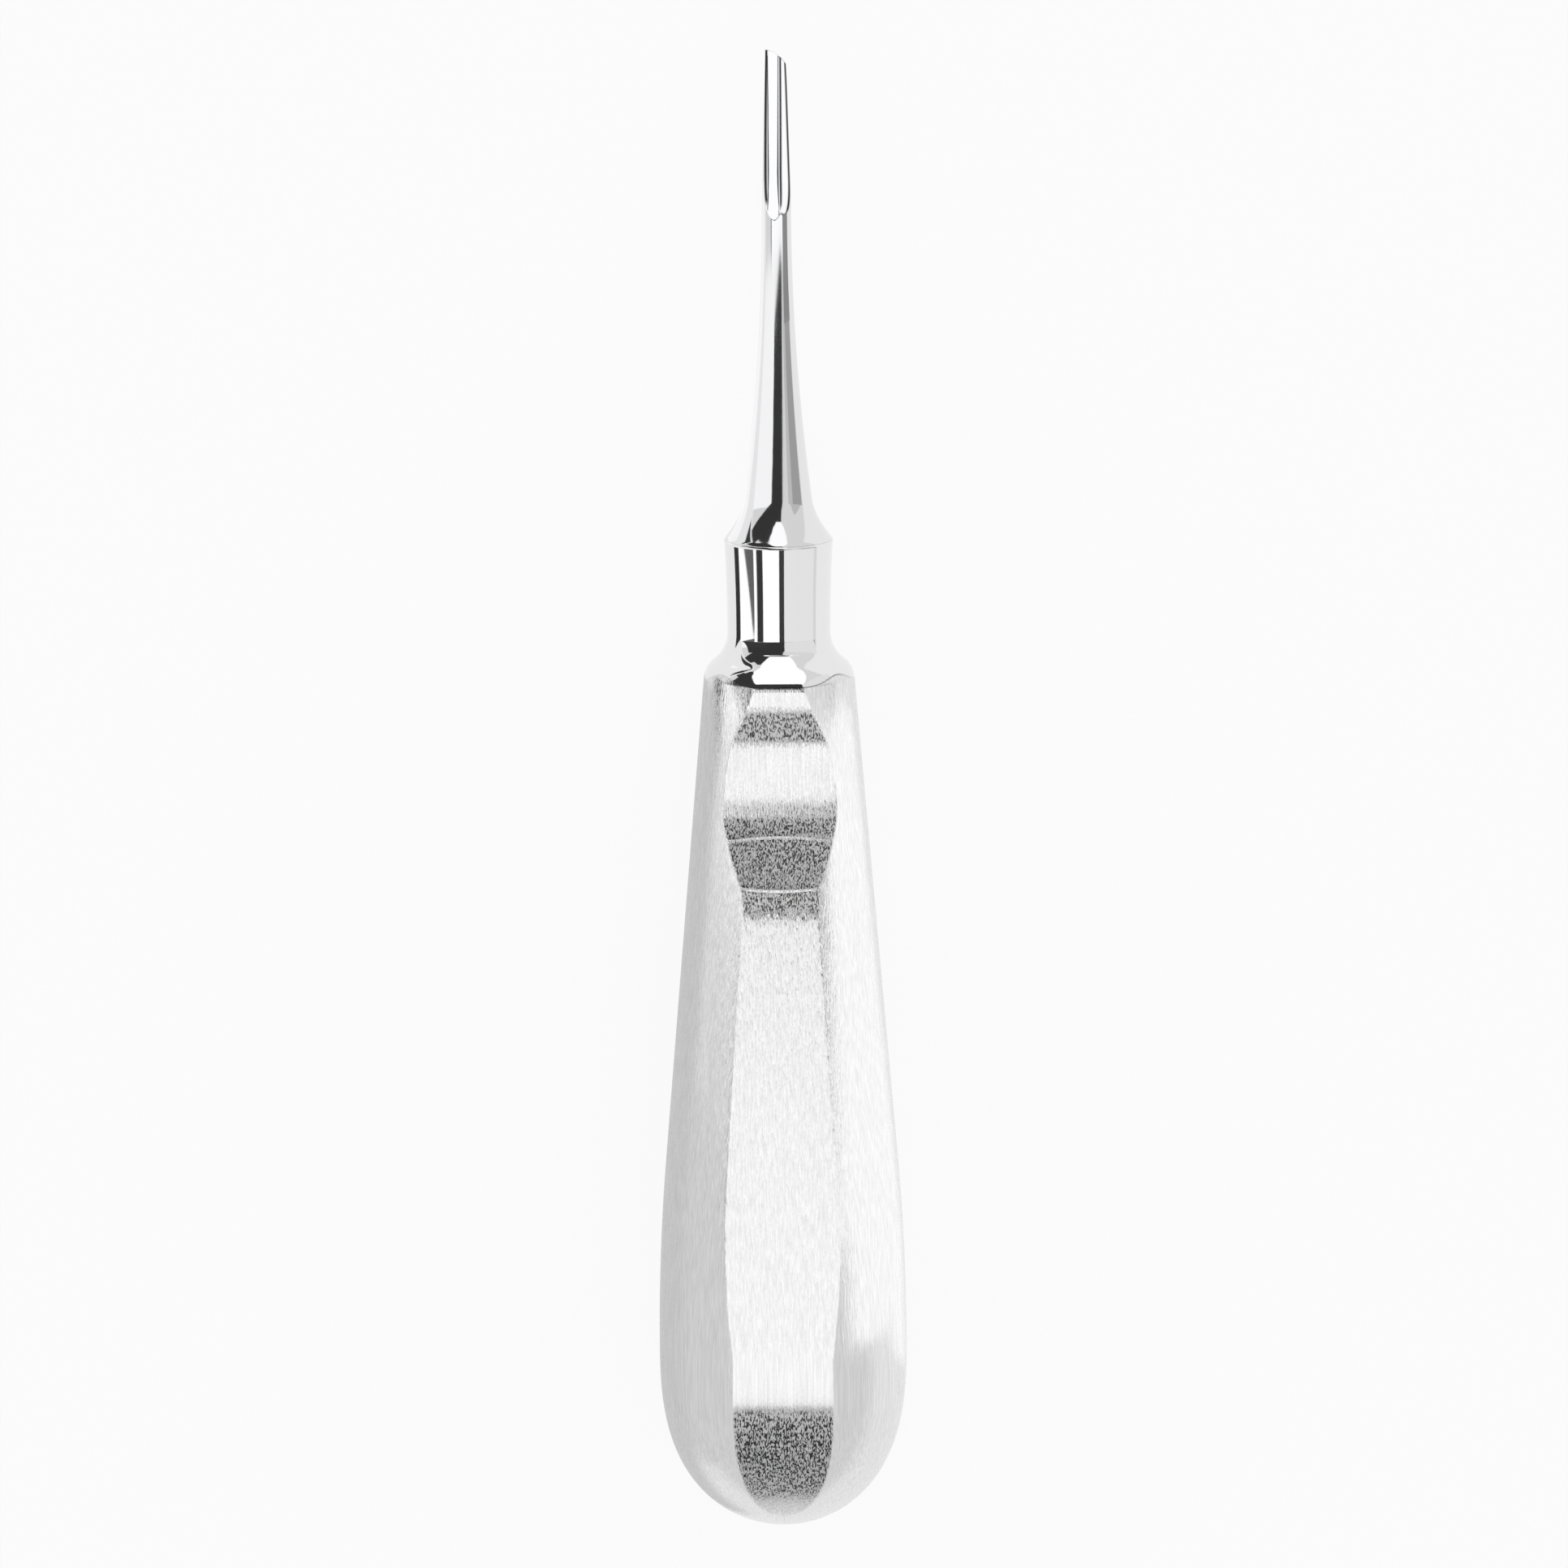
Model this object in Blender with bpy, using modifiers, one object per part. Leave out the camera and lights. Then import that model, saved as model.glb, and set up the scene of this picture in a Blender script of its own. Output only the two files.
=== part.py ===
"""Dental root elevator with a hollow steel handle, lying on its back flat.

The working end is one forging: a narrow gouge blade, a slender shank, the bolster
that it widens into, and a tang. The handle is a hollow pear-shaped turning with a
polished neck at its top, and a flat with a thumb scoop on its front and on its back.
The tang is brazed into the bore of the neck.

All sizes are in millimetres, and are turned into metres when a mesh is made.
y runs along the instrument's axis, from the butt of the handle to the tip of the blade,
and z is the height above that axis, towards the front flat. x is to the right.
"""

import math

import bmesh
import bpy
from mathutils import Matrix

MM = 0.001

# Lengths of the handle's and the working end's stretches, from the butt to the tip
BUTT_LENGTH = 18.5
BELLY_LENGTH = 17.5
TAPER_LENGTH = 47.8
NECK_LENGTH = 13.5
SHANK_LENGTH = 32.2
BLADE_LENGTH = 15.5

# Stations along the axis, measured from the butt
WIDEST_Y = BUTT_LENGTH
TAPER_START_Y = WIDEST_Y + BELLY_LENGTH
RIM_Y = TAPER_START_Y + TAPER_LENGTH
BOLSTER_Y = RIM_Y + NECK_LENGTH
BLADE_ROOT_Y = BOLSTER_Y + SHANK_LENGTH
TIP_Y = BLADE_ROOT_Y + BLADE_LENGTH

# Handle, a body of revolution before its flats are ground
HANDLE_RADIUS = 12.04
BUTT_FULLNESS = 2.8
RIM_RADIUS = 7.3
RIM_ROUNDING = 2.35
NECK_FILLET = 3.4
NECK_RADIUS = 5.0
COLLAR_RADIUS = 5.28
WALL = 1.2
HOLLOW_CONE = math.radians(60.0)

# Flats and thumb scoops, the same on the front and the back
FLAT_HEIGHT = 8.25
FLAT_SLOPE = math.radians(3.5)
FLAT_OVERRUN = 0.8
FLAT_END_FULLNESS = 2.5
SCOOP_LENGTH = 19.6
SCOOP_RAMP = math.radians(15.0)
SCOOP_FILLET = 24.0
SCOOP_RIM_HEIGHT = 6.78
SCOOP_RIM_SLOPE = math.radians(5.0)
BEVEL_END_ANGLE = math.radians(32.0)
BEVEL_OVERRUN = 0.3
CREASE_Y = RIM_Y - SCOOP_LENGTH

# Working end
SHANK_ROOT_RADIUS = 3.85
SHANK_RADIUS = 1.42
BOLSTER_LENGTH = 4.0
BOLSTER_EDGE = 0.25
BLADE_TIP_RADIUS = 1.0
TANG_RADIUS = 2.9
TANG_LENGTH = 16.0
TANG_CHAMFER = 0.6
BRAZE_GAP = 0.05

# Gouge of the blade
TROUGH_RADIUS = 0.78
TROUGH_OFFSET = -0.32
TROUGH_FLOOR = 0.0
TROUGH_RUN_OUT = 3.7
TROUGH_RUN_OUT_RADIUS = 8.0
TROUGH_RUN_OUT_TURN = math.radians(60.0)
LAND_ANGLE = math.radians(29.0)
LAND_HEIGHT = 1.04
LAND_SLOPE = math.radians(1.2)
LAND_RUN_OUT = 3.5
LAND_RUN_OUT_RADIUS = 20.0
LAND_RUN_OUT_TURN = math.radians(20.0)
BACK_GRIND_START = 1.5
BACK_TIP_DEPTH = 0.22
TIP_ARC_RADIUS = 3.2
TIP_ARC_OFFSET = -1.7
TIP_ARC_END = math.radians(8.0)

# Facets round the turned surfaces, and along their profiles and curves
HANDLE_STEPS = 56
CORE_STEPS = 32
SHANK_STEPS = 32
TROUGH_STEPS = 20
BUTT_FACETS = 12
BELLY_FACETS = 6
RIM_FACETS = 5
FLARE_FACETS = 7
COLLAR_FACETS = 5
FLAT_END_FACETS = 14
SCOOP_FACETS = 8
BOLSTER_FACETS = 7
SHANK_FACETS = 9
BLADE_FACETS = 8
TROUGH_RUN_OUT_FACETS = 11
LAND_RUN_OUT_FACETS = 7
TIP_FACETS = 13

# Distance by which a cutter stands out of the piece that it cuts
CLEAR = 4.0


def spread(start, end, facets):
    """Evenly spaced values that bound a number of facets, both ends included."""
    return [start + (end - start) * i / facets for i in range(facets + 1)]


def arc(centre, radius, start, end, facets):
    """Points (a, b) on a circle from one angle to another, both ends included."""
    angles = spread(start, end, facets)
    return [(centre[0] + radius * math.cos(t), centre[1] + radius * math.sin(t)) for t in angles]


def butt_radius(y):
    """The butt is a full, squared-off ellipse that ends in a pole at the axis."""
    return HANDLE_RADIUS * math.sqrt(max(0.0, 1.0 - (1.0 - y / WIDEST_Y) ** BUTT_FULLNESS))


def taper_slope():
    """Slope of the straight taper, which a parabola joins to the widest station."""
    blend = (TAPER_START_Y - WIDEST_Y) / 2.0
    return (HANDLE_RADIUS - RIM_RADIUS) / (RIM_Y - TAPER_START_Y + blend)


def flare_stations():
    """The flare's turning angle, its inflection and the station where the waist begins."""
    tilt = math.atan(taper_slope())
    drop = RIM_RADIUS - NECK_RADIUS
    cosine = (NECK_FILLET + RIM_ROUNDING * math.cos(tilt) - drop) / (NECK_FILLET + RIM_ROUNDING)
    angle = math.acos(cosine)
    inflection = RIM_Y + RIM_ROUNDING * (math.sin(angle) - math.sin(tilt))
    return tilt, angle, inflection, inflection + NECK_FILLET * math.sin(angle)


def handle_body():
    """Profile of butt, belly and taper, as (y, radius) from the butt's pole to the rim."""
    turns = spread(0.0, math.pi / 2, BUTT_FACETS)
    stations = [WIDEST_Y * (1.0 - math.cos(t)) for t in turns]
    butt = [(y, butt_radius(y)) for y in stations]
    run = TAPER_START_Y - WIDEST_Y
    bend = taper_slope() / (2.0 * run)
    stations = spread(WIDEST_Y, TAPER_START_Y, BELLY_FACETS)[1:]
    return butt + [(y, HANDLE_RADIUS - bend * (y - WIDEST_Y) ** 2) for y in stations]


def handle_flare():
    """Profile of rim, flare and waist: a convex arc, then a concave one."""
    tilt, angle, inflection, waist = flare_stations()
    quarter = math.pi / 2
    centre = (RIM_Y - RIM_ROUNDING * math.sin(tilt), RIM_RADIUS - RIM_ROUNDING * math.cos(tilt))
    rim = arc(centre, RIM_ROUNDING, quarter - tilt, quarter - angle, RIM_FACETS)
    centre = (waist, NECK_RADIUS + NECK_FILLET)
    return rim + arc(centre, NECK_FILLET, -quarter - angle, -quarter, FLARE_FACETS)[1:]


def collar():
    """Profile of the neck above the waist, which widens in a long shallow curve."""
    waist = flare_stations()[3]
    run = BOLSTER_Y - BRAZE_GAP - waist
    rise = COLLAR_RADIUS - NECK_RADIUS
    shares = spread(0.0, 1.0, COLLAR_FACETS)[1:]
    return [(waist + run * share, NECK_RADIUS + rise * share ** 2) for share in shares]


def inset(profile, depth):
    """The same profile moved inwards along its normals, for the inside of the wall."""
    moved = []
    for i, (y, r) in enumerate(profile):
        before = profile[max(i - 1, 0)]
        after = profile[min(i + 1, len(profile) - 1)]
        run, rise = after[0] - before[0], after[1] - before[1]
        length = math.hypot(run, rise)
        moved.append((y + depth * rise / length, r - depth * run / length))
    return moved


def facet_outline(depth):
    """Side view of a flat, its scoop and the bevel on the flare, as (y, z), lowered by depth."""
    drop = math.tan(FLAT_SLOPE)
    crease = (CREASE_Y, FLAT_HEIGHT)
    rim = (RIM_Y, SCOOP_RIM_HEIGHT)
    # The flat bends down to the butt along a squared ellipse, as the butt itself does
    top = FLAT_HEIGHT + drop * (CREASE_Y - WIDEST_Y)
    first = -FLAT_OVERRUN / 2.0
    end = []
    for part in spread(0.0, 1.0, FLAT_END_FACETS):
        y = first + (WIDEST_Y - first) * part ** 2
        share = (WIDEST_Y - y) / (WIDEST_Y + FLAT_OVERRUN)
        end.append((y, top * math.sqrt(1.0 - share ** FLAT_END_FULLNESS)))
    # The scoop is an arc between the ramp from the crease and the slope from the rim
    ramp, back = math.tan(SCOOP_RAMP), math.tan(SCOOP_RIM_SLOPE)
    y = (crease[1] - rim[1] + ramp * crease[0] + back * rim[0]) / (ramp + back)
    corner = (y, crease[1] - ramp * (y - crease[0]))
    tangent = SCOOP_FILLET * math.tan((SCOOP_RAMP + SCOOP_RIM_SLOPE) / 2.0)
    start = (corner[0] - tangent * math.cos(SCOOP_RAMP), corner[1] + tangent * math.sin(SCOOP_RAMP))
    centre = (start[0] + SCOOP_FILLET * math.sin(SCOOP_RAMP),
              start[1] + SCOOP_FILLET * math.cos(SCOOP_RAMP))
    down = -math.pi / 2
    scoop = arc(centre, SCOOP_FILLET, down - SCOOP_RAMP, down + SCOOP_RIM_SLOPE, SCOOP_FACETS)
    # The bevel beyond the rim runs out on the concave flare, a little short of the waist
    y = flare_stations()[3] - NECK_FILLET * math.sin(BEVEL_END_ANGLE)
    z = NECK_RADIUS + NECK_FILLET * (1.0 - math.cos(BEVEL_END_ANGLE))
    fall = (rim[1] - z) / (y - rim[0])
    bevel = (y + BEVEL_OVERRUN, z - fall * BEVEL_OVERRUN)
    lower = end + [crease] + scoop + [rim, bevel]
    lower = [(y, z - depth) for y, z in lower]
    above = HANDLE_RADIUS + CLEAR
    return lower + [(bevel[0], above), (first, above)]


def shank_radius(y):
    """Radius from bolster to tip: two parabolas added up to the blade's root, then a taper."""
    if y >= BLADE_ROOT_Y:
        share = (y - BLADE_ROOT_Y) / (TIP_Y - BLADE_ROOT_Y)
        return SHANK_RADIUS + (BLADE_TIP_RADIUS - SHANK_RADIUS) * share
    share = (BLADE_ROOT_Y - y) / (BLADE_ROOT_Y - BOLSTER_Y)
    radius = SHANK_RADIUS + (SHANK_ROOT_RADIUS - SHANK_RADIUS) * share ** 2
    flare = max(0.0, 1.0 - (y - BOLSTER_Y) / BOLSTER_LENGTH)
    return radius + (COLLAR_RADIUS - SHANK_ROOT_RADIUS) * flare ** 2


def working_profile():
    """Profile of tang, bolster, shank and blade blank, as (y, radius) from the tang's end."""
    tang_end = BOLSTER_Y - TANG_LENGTH
    points = [(tang_end, 0.0), (tang_end, TANG_RADIUS - TANG_CHAMFER),
              (tang_end + TANG_CHAMFER, TANG_RADIUS), (BOLSTER_Y, TANG_RADIUS),
              (BOLSTER_Y, COLLAR_RADIUS - BOLSTER_EDGE / 2)]
    points.append((BOLSTER_Y + BOLSTER_EDGE / 2, COLLAR_RADIUS))
    bolster_end = BOLSTER_Y + BOLSTER_LENGTH
    stations = spread(BOLSTER_Y + BOLSTER_EDGE, bolster_end, BOLSTER_FACETS)
    stations += spread(bolster_end, BLADE_ROOT_Y, SHANK_FACETS)[1:]
    stations += spread(BLADE_ROOT_Y, TIP_Y, BLADE_FACETS)[1:]
    points += [(y, shank_radius(y)) for y in stations]
    return points + [(TIP_Y + CLEAR, BLADE_TIP_RADIUS), (TIP_Y + CLEAR, 0.0)]


def grind_back(mesh):
    """Raises the back of the blade in an even curve, so that it is thin at the tip."""
    start = BLADE_ROOT_Y + BACK_GRIND_START
    for vertex in mesh.vertices:
        y = vertex.co.y / MM
        share = max(0.0, min(1.0, (y - start) / (TIP_Y - start)))
        if vertex.co.z < 0.0:
            left = 1.0 - (1.0 - BACK_TIP_DEPTH / BLADE_TIP_RADIUS) * share ** 2
            vertex.co.z *= left


def trough_path():
    """Centre line of the gouge's trough, which leaves the shank in an arc."""
    height = TROUGH_FLOOR + TROUGH_RADIUS
    points = [(TROUGH_OFFSET, TIP_Y + CLEAR, height)]
    centre = (BLADE_ROOT_Y + TROUGH_RUN_OUT, height + TROUGH_RUN_OUT_RADIUS)
    down = -math.pi / 2
    rise = arc(centre, TROUGH_RUN_OUT_RADIUS, down, down - TROUGH_RUN_OUT_TURN, TROUGH_RUN_OUT_FACETS)
    return points + [(TROUGH_OFFSET, y, z) for y, z in rise]


def land_outline():
    """Side view of the flat ground along the right rim of the gouge, as (y, z)."""
    start = BLADE_ROOT_Y + LAND_RUN_OUT
    down = -math.pi / 2
    centre = (start, LAND_HEIGHT + LAND_RUN_OUT_RADIUS)
    rise = arc(centre, LAND_RUN_OUT_RADIUS, down - LAND_RUN_OUT_TURN, down, LAND_RUN_OUT_FACETS)
    above = rise[0][1] + CLEAR
    far = TIP_Y + CLEAR
    tip = (far, LAND_HEIGHT - math.tan(LAND_SLOPE) * (far - start))
    return rise + [tip, (far, above), (rise[0][0], above)]


def tip_outline():
    """Plan of what is ground off the tip, as (x, y), leaving a slanting rounded edge."""
    edge = -BLADE_TIP_RADIUS - TIP_ARC_OFFSET
    centre = (TIP_ARC_OFFSET, TIP_Y - math.sqrt(TIP_ARC_RADIUS ** 2 - edge ** 2))
    rounded = arc(centre, TIP_ARC_RADIUS, math.pi / 2, TIP_ARC_END, TIP_FACETS)
    right = rounded[-1][0] + CLEAR
    far = TIP_Y + 2.0 * CLEAR
    return rounded + [(right, rounded[-1][1]), (right, far), (TIP_ARC_OFFSET, far)]


def steel(name, colour, roughness):
    """A bare steel finish."""
    material = bpy.data.materials.new(name)
    material.use_nodes = True
    shader = material.node_tree.nodes["Principled BSDF"]
    shader.inputs["Base Color"].default_value = (*colour, 1.0)
    shader.inputs["Metallic"].default_value = 1.0
    shader.inputs["Roughness"].default_value = roughness
    material.diffuse_color = (*colour, 1.0)
    return material


def turned(name, profile, steps, collection):
    """A body turned about the axis from (y, radius) points given from the butt to the tip."""
    mesh = bpy.data.meshes.new(name)
    points = [(r * MM, 0.0, y * MM) for y, r in reversed(profile)]
    mesh.from_pydata(points, [(i, i + 1) for i in range(len(points) - 1)], [])
    piece = bpy.data.objects.new(name, mesh)
    collection.objects.link(piece)
    screw = piece.modifiers.new("turning", "SCREW")
    screw.axis = "Z"
    screw.angle = 2.0 * math.pi
    screw.steps = steps
    screw.render_steps = steps
    screw.use_merge_vertices = True
    screw.merge_threshold = 0.000001
    screw.use_smooth_shade = True
    piece.rotation_euler.x = -math.pi / 2
    return piece


def as_mesh(source, collection):
    """Replaces an object by its evaluated mesh, welded, in the instrument's own axes."""
    bpy.context.view_layer.update()
    evaluated = source.evaluated_get(bpy.context.evaluated_depsgraph_get())
    mesh = bpy.data.meshes.new_from_object(evaluated)
    mesh.transform(source.matrix_world)
    shape = bmesh.new()
    shape.from_mesh(mesh)
    bmesh.ops.remove_doubles(shape, verts=shape.verts, dist=0.000001)
    bmesh.ops.recalc_face_normals(shape, faces=shape.faces)
    shape.to_mesh(mesh)
    shape.free()
    name = source.name
    bpy.data.objects.remove(source, do_unlink=True)
    mesh.name = name
    piece = bpy.data.objects.new(name, mesh)
    collection.objects.link(piece)
    return piece


def plate(name, outline, half_width, placing, collection):
    """A cutter with a flat outline, extruded to both sides by half_width."""
    curve = bpy.data.curves.new(name, "CURVE")
    curve.dimensions = "2D"
    curve.fill_mode = "BOTH"
    curve.extrude = half_width * MM
    spline = curve.splines.new("POLY")
    spline.points.add(len(outline) - 1)
    for point, (a, b) in zip(spline.points, outline):
        point.co = (a * MM, b * MM, 0.0, 1.0)
    spline.use_cyclic_u = True
    source = bpy.data.objects.new(name, curve)
    source.matrix_world = placing
    collection.objects.link(source)
    return as_mesh(source, collection)


def tube(name, path, radius, steps, collection):
    """A round cutter swept along a path of (x, y, z) points."""
    curve = bpy.data.curves.new(name, "CURVE")
    curve.dimensions = "3D"
    curve.bevel_depth = radius * MM
    curve.bevel_resolution = steps // 2 - 2
    curve.use_fill_caps = True
    spline = curve.splines.new("POLY")
    spline.points.add(len(path) - 1)
    for point, place in zip(spline.points, path):
        point.co = (*(value * MM for value in place), 1.0)
    source = bpy.data.objects.new(name, curve)
    collection.objects.link(source)
    return as_mesh(source, collection)


def cut(piece, cutter, label):
    """Takes a cutter away from a piece."""
    boolean = piece.modifiers.new(label, "BOOLEAN")
    boolean.operation = "DIFFERENCE"
    boolean.solver = "EXACT"
    boolean.object = cutter


def grind_flats(piece, depth, label, side_view, cutters):
    """Grinds the front and the back flat, with their scoops."""
    outline = facet_outline(depth)
    half_width = HANDLE_RADIUS + CLEAR
    front = plate(label + "_front", outline, half_width, side_view, cutters)
    mirrored = [(y, -z) for y, z in reversed(outline)]
    back = plate(label + "_back", mirrored, half_width, side_view, cutters)
    cut(piece, front, "front flat")
    cut(piece, back, "back flat")


def build():
    for item in list(bpy.data.objects):
        bpy.data.objects.remove(item, do_unlink=True)
    parts = bpy.data.collections.new("root_elevator")
    cutters = bpy.data.collections.new("cutters")
    for collection in (parts, cutters):
        bpy.context.scene.collection.children.link(collection)

    # Side views are drawn as (y, z) and extruded along x
    side_view = Matrix(((0, 0, 1, 0), (1, 0, 0, 0), (0, 1, 0, 0), (0, 0, 0, 1)))

    # Handle: turned, ground flat on two sides, hollow, and bored for the tang
    flare = handle_flare()
    body = handle_body()
    end_ring = [(BOLSTER_Y - BRAZE_GAP, 0.0)]
    handle = turned("handle", body + flare + collar() + end_ring, HANDLE_STEPS, parts)
    grind_flats(handle, 0.0, "flat", side_view, cutters)
    bore_radius = TANG_RADIUS + BRAZE_GAP
    inner = inset(body + [flare[0]], WALL)
    inner = [(inner[0][0], 0.0)] + inner[1:]
    bore_start = inner[-1][0]
    cone_length = inner[-1][1] / math.tan(HOLLOW_CONE)
    inner.append((bore_start + cone_length, 0.0))
    core = turned("hollow", inner, CORE_STEPS, cutters)
    grind_flats(core, WALL, "inner_flat", side_view, cutters)
    wall = [(bore_start, 0.0), (bore_start, bore_radius)]
    mouth = [(BOLSTER_Y + CLEAR, bore_radius), (BOLSTER_Y + CLEAR, 0.0)]
    bore = turned("bore", wall + mouth, SHANK_STEPS, cutters)
    cut(handle, core, "hollow")
    cut(handle, bore, "tang bore")

    # Working end: turned, its back ground, then the gouge, its rim and the tip
    blank = turned("blade_and_shank", working_profile(), SHANK_STEPS, parts)
    blade = as_mesh(blank, parts)
    grind_back(blade.data)
    trough = tube("trough", trough_path(), TROUGH_RADIUS, TROUGH_STEPS, cutters)
    land_place = Matrix.Rotation(LAND_ANGLE, 4, "Y") @ side_view
    land = plate("land", land_outline(), CLEAR, land_place, cutters)
    tip = plate("tip", tip_outline(), CLEAR, Matrix.Identity(4), cutters)
    cut(blade, trough, "trough")
    cut(blade, land, "land on the right rim")
    cut(blade, tip, "slanting tip")

    handle.data.materials.append(steel("satin_steel", (0.72, 0.72, 0.73), 0.38))
    blade.data.materials.append(steel("polished_steel", (0.76, 0.76, 0.77), 0.12))

    # The instrument lies on its back flat, with its middle over the origin
    lying = bpy.data.objects.new("lying_on_back_flat", None)
    parts.objects.link(lying)
    lift = FLAT_HEIGHT * math.cos(FLAT_SLOPE) + CREASE_Y * math.sin(FLAT_SLOPE)
    lying.location = (0.0, -TIP_Y / 2.0 * math.cos(FLAT_SLOPE) * MM, lift * MM)
    lying.rotation_euler.x = -FLAT_SLOPE
    for piece in list(parts.objects) + list(cutters.objects):
        if piece is not lying:
            piece.parent = lying
    for cutter in cutters.objects:
        cutter.hide_render = True
        cutter.display_type = "WIRE"
    for piece in (handle, blade):
        piece.data.shade_smooth()
    bpy.context.view_layer.update()


build()
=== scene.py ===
"""Looks of a dental root elevator: a satin steel handle with a polished neck and a gouge blade."""

import math

import bpy
import numpy as np
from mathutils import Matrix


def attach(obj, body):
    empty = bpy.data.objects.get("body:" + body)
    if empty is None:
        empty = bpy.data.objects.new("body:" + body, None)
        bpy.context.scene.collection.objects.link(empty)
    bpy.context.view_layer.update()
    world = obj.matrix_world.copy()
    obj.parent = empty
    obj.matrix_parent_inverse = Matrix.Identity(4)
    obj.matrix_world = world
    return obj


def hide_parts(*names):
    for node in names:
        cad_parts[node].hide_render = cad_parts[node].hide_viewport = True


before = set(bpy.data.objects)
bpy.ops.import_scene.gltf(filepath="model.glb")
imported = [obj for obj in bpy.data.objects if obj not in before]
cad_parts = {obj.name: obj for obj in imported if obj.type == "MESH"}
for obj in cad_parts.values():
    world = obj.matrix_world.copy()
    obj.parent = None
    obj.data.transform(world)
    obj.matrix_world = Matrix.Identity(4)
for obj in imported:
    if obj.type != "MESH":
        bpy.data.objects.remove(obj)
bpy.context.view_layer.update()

# Handle
# The real piece is a hollow pear-shaped turning of stainless steel. Its front and back are
# ground flat, with a thumb scoop at the upper end. Round sides and flats are brushed
# lengthwise, and the flare and the neck, which hold the brazed tang, are polished.

MM = 0.001
TIP_Y = 145.0
FLAT_SLOPE = math.radians(3.5)
CREASE_Y = 64.2
FLAT_HEIGHT = 8.25

BUTT_Y, BUTT_RADIUS, BUTT_FULLNESS = 18.5, 12.04, 2.8
TAPER_START_Y = 36.0
RIM_Y, RIM_RADIUS, RIM_ROUNDING = 83.8, 7.3, 2.35
NECK_RADIUS, NECK_FILLET = 5.0, 3.4
COLLAR_Y, COLLAR_RADIUS = 97.3, 5.28
SEAM_GAP = 0.02
WALL = 1.2
BORE_RADIUS = 2.95

FLAT_END_LENGTH, FLAT_END_FULLNESS = 19.3, 2.5
CREASE_ROUND_LENGTH, CREASE_ROUND_ANGLE = 3.4, math.radians(5.0)
SCOOP_PLACES = np.array([0.0, 6.2, 7.3, 9.0, 13.4, 14.4, 17.0, 18.0, 19.6])
SCOOP_ANGLES = np.radians([15.4, 14.6, 6.0, 2.0, -3.6, -9.4, -9.4, -4.2, -4.0])
BURR_HEIGHT, BURR_WIDTH = 0.05, 0.19
BURRS = ((0.05, 0.018), (5.1, -0.015))
BEVEL_END_ANGLE, BEVEL_OVERRUN = math.radians(32.0), 0.3
EDGE_SOFTNESS, BEVEL_SOFTNESS = 0.07, 0.16
BLEND_LENGTH, BLEND_SOFTNESS = 1.2, 0.55

# The grid's columns: offsets of the close ones from an edge, and how many a flat and a side have
EDGE_OFFSETS = np.array([-0.12, -0.07, -0.035, 0.0, 0.035, 0.07, 0.12])
LEAST_OFFSET_RADIUS, LEAST_EDGE_ANGLE = 3.0, math.radians(2.0)
FLAT_COLUMNS, SIDE_COLUMNS = 27, 48


def laid(x, y, z):
    """Places instrument millimetres in the frame: turned by the flat's slope, so that the back
    flat lies on the ground, and moved so that the middle of the length is over the origin."""
    lift = FLAT_HEIGHT * math.cos(FLAT_SLOPE) + CREASE_Y * math.sin(FLAT_SLOPE)
    along = (y - TIP_Y / 2.0) * math.cos(FLAT_SLOPE) + z * math.sin(FLAT_SLOPE)
    up = z * math.cos(FLAT_SLOPE) - y * math.sin(FLAT_SLOPE) + lift
    return np.stack(np.broadcast_arrays(x, along, up), axis=-1) * MM


def skin(name, rings, start_pole, end_pole):
    """A closed surface over a grid of rings: ring i, column j is joined to i + 1 and j + 1,
    and each end runs to its pole, or is one flat face where no pole is given."""
    count, around = rings.shape[:2]
    here = np.arange(count - 1)[:, None] * around
    column = np.arange(around)[None, :]
    after = (column + 1) % around
    quads = np.stack([here + column, here + after, here + around + after, here + around + column], -1)
    faces = quads.reshape(-1, 4).tolist()
    points = [rings.reshape(-1, 3)]
    last = (count - 1) * around
    extra = count * around
    ends = ((start_pole, 0, True), (end_pole, last, False))
    for pole, first, flip in ends:
        ring = first + np.arange(around)
        if flip:
            ring = ring[::-1]
        if pole is None:
            faces.append(ring.tolist())
            continue
        points.append(np.asarray(pole, dtype=float).reshape(1, 3))
        fan = np.stack([np.full(around, extra), ring, np.roll(ring, -1)], axis=-1)
        faces.extend(fan.tolist())
        extra += 1
    mesh = bpy.data.meshes.new(name)
    mesh.from_pydata(np.concatenate(points).tolist(), [], faces)
    mesh.update()
    mesh.shade_smooth()
    piece = bpy.data.objects.new(name, mesh)
    bpy.context.collection.objects.link(piece)
    return piece


def soft_min(a, b, width):
    """The lower of two heights, with the corner where they cross rounded over a width."""
    near = np.maximum(width - np.abs(a - b), 0.0) / width
    return np.minimum(a, b) - near * near * width / 4.0


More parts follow.
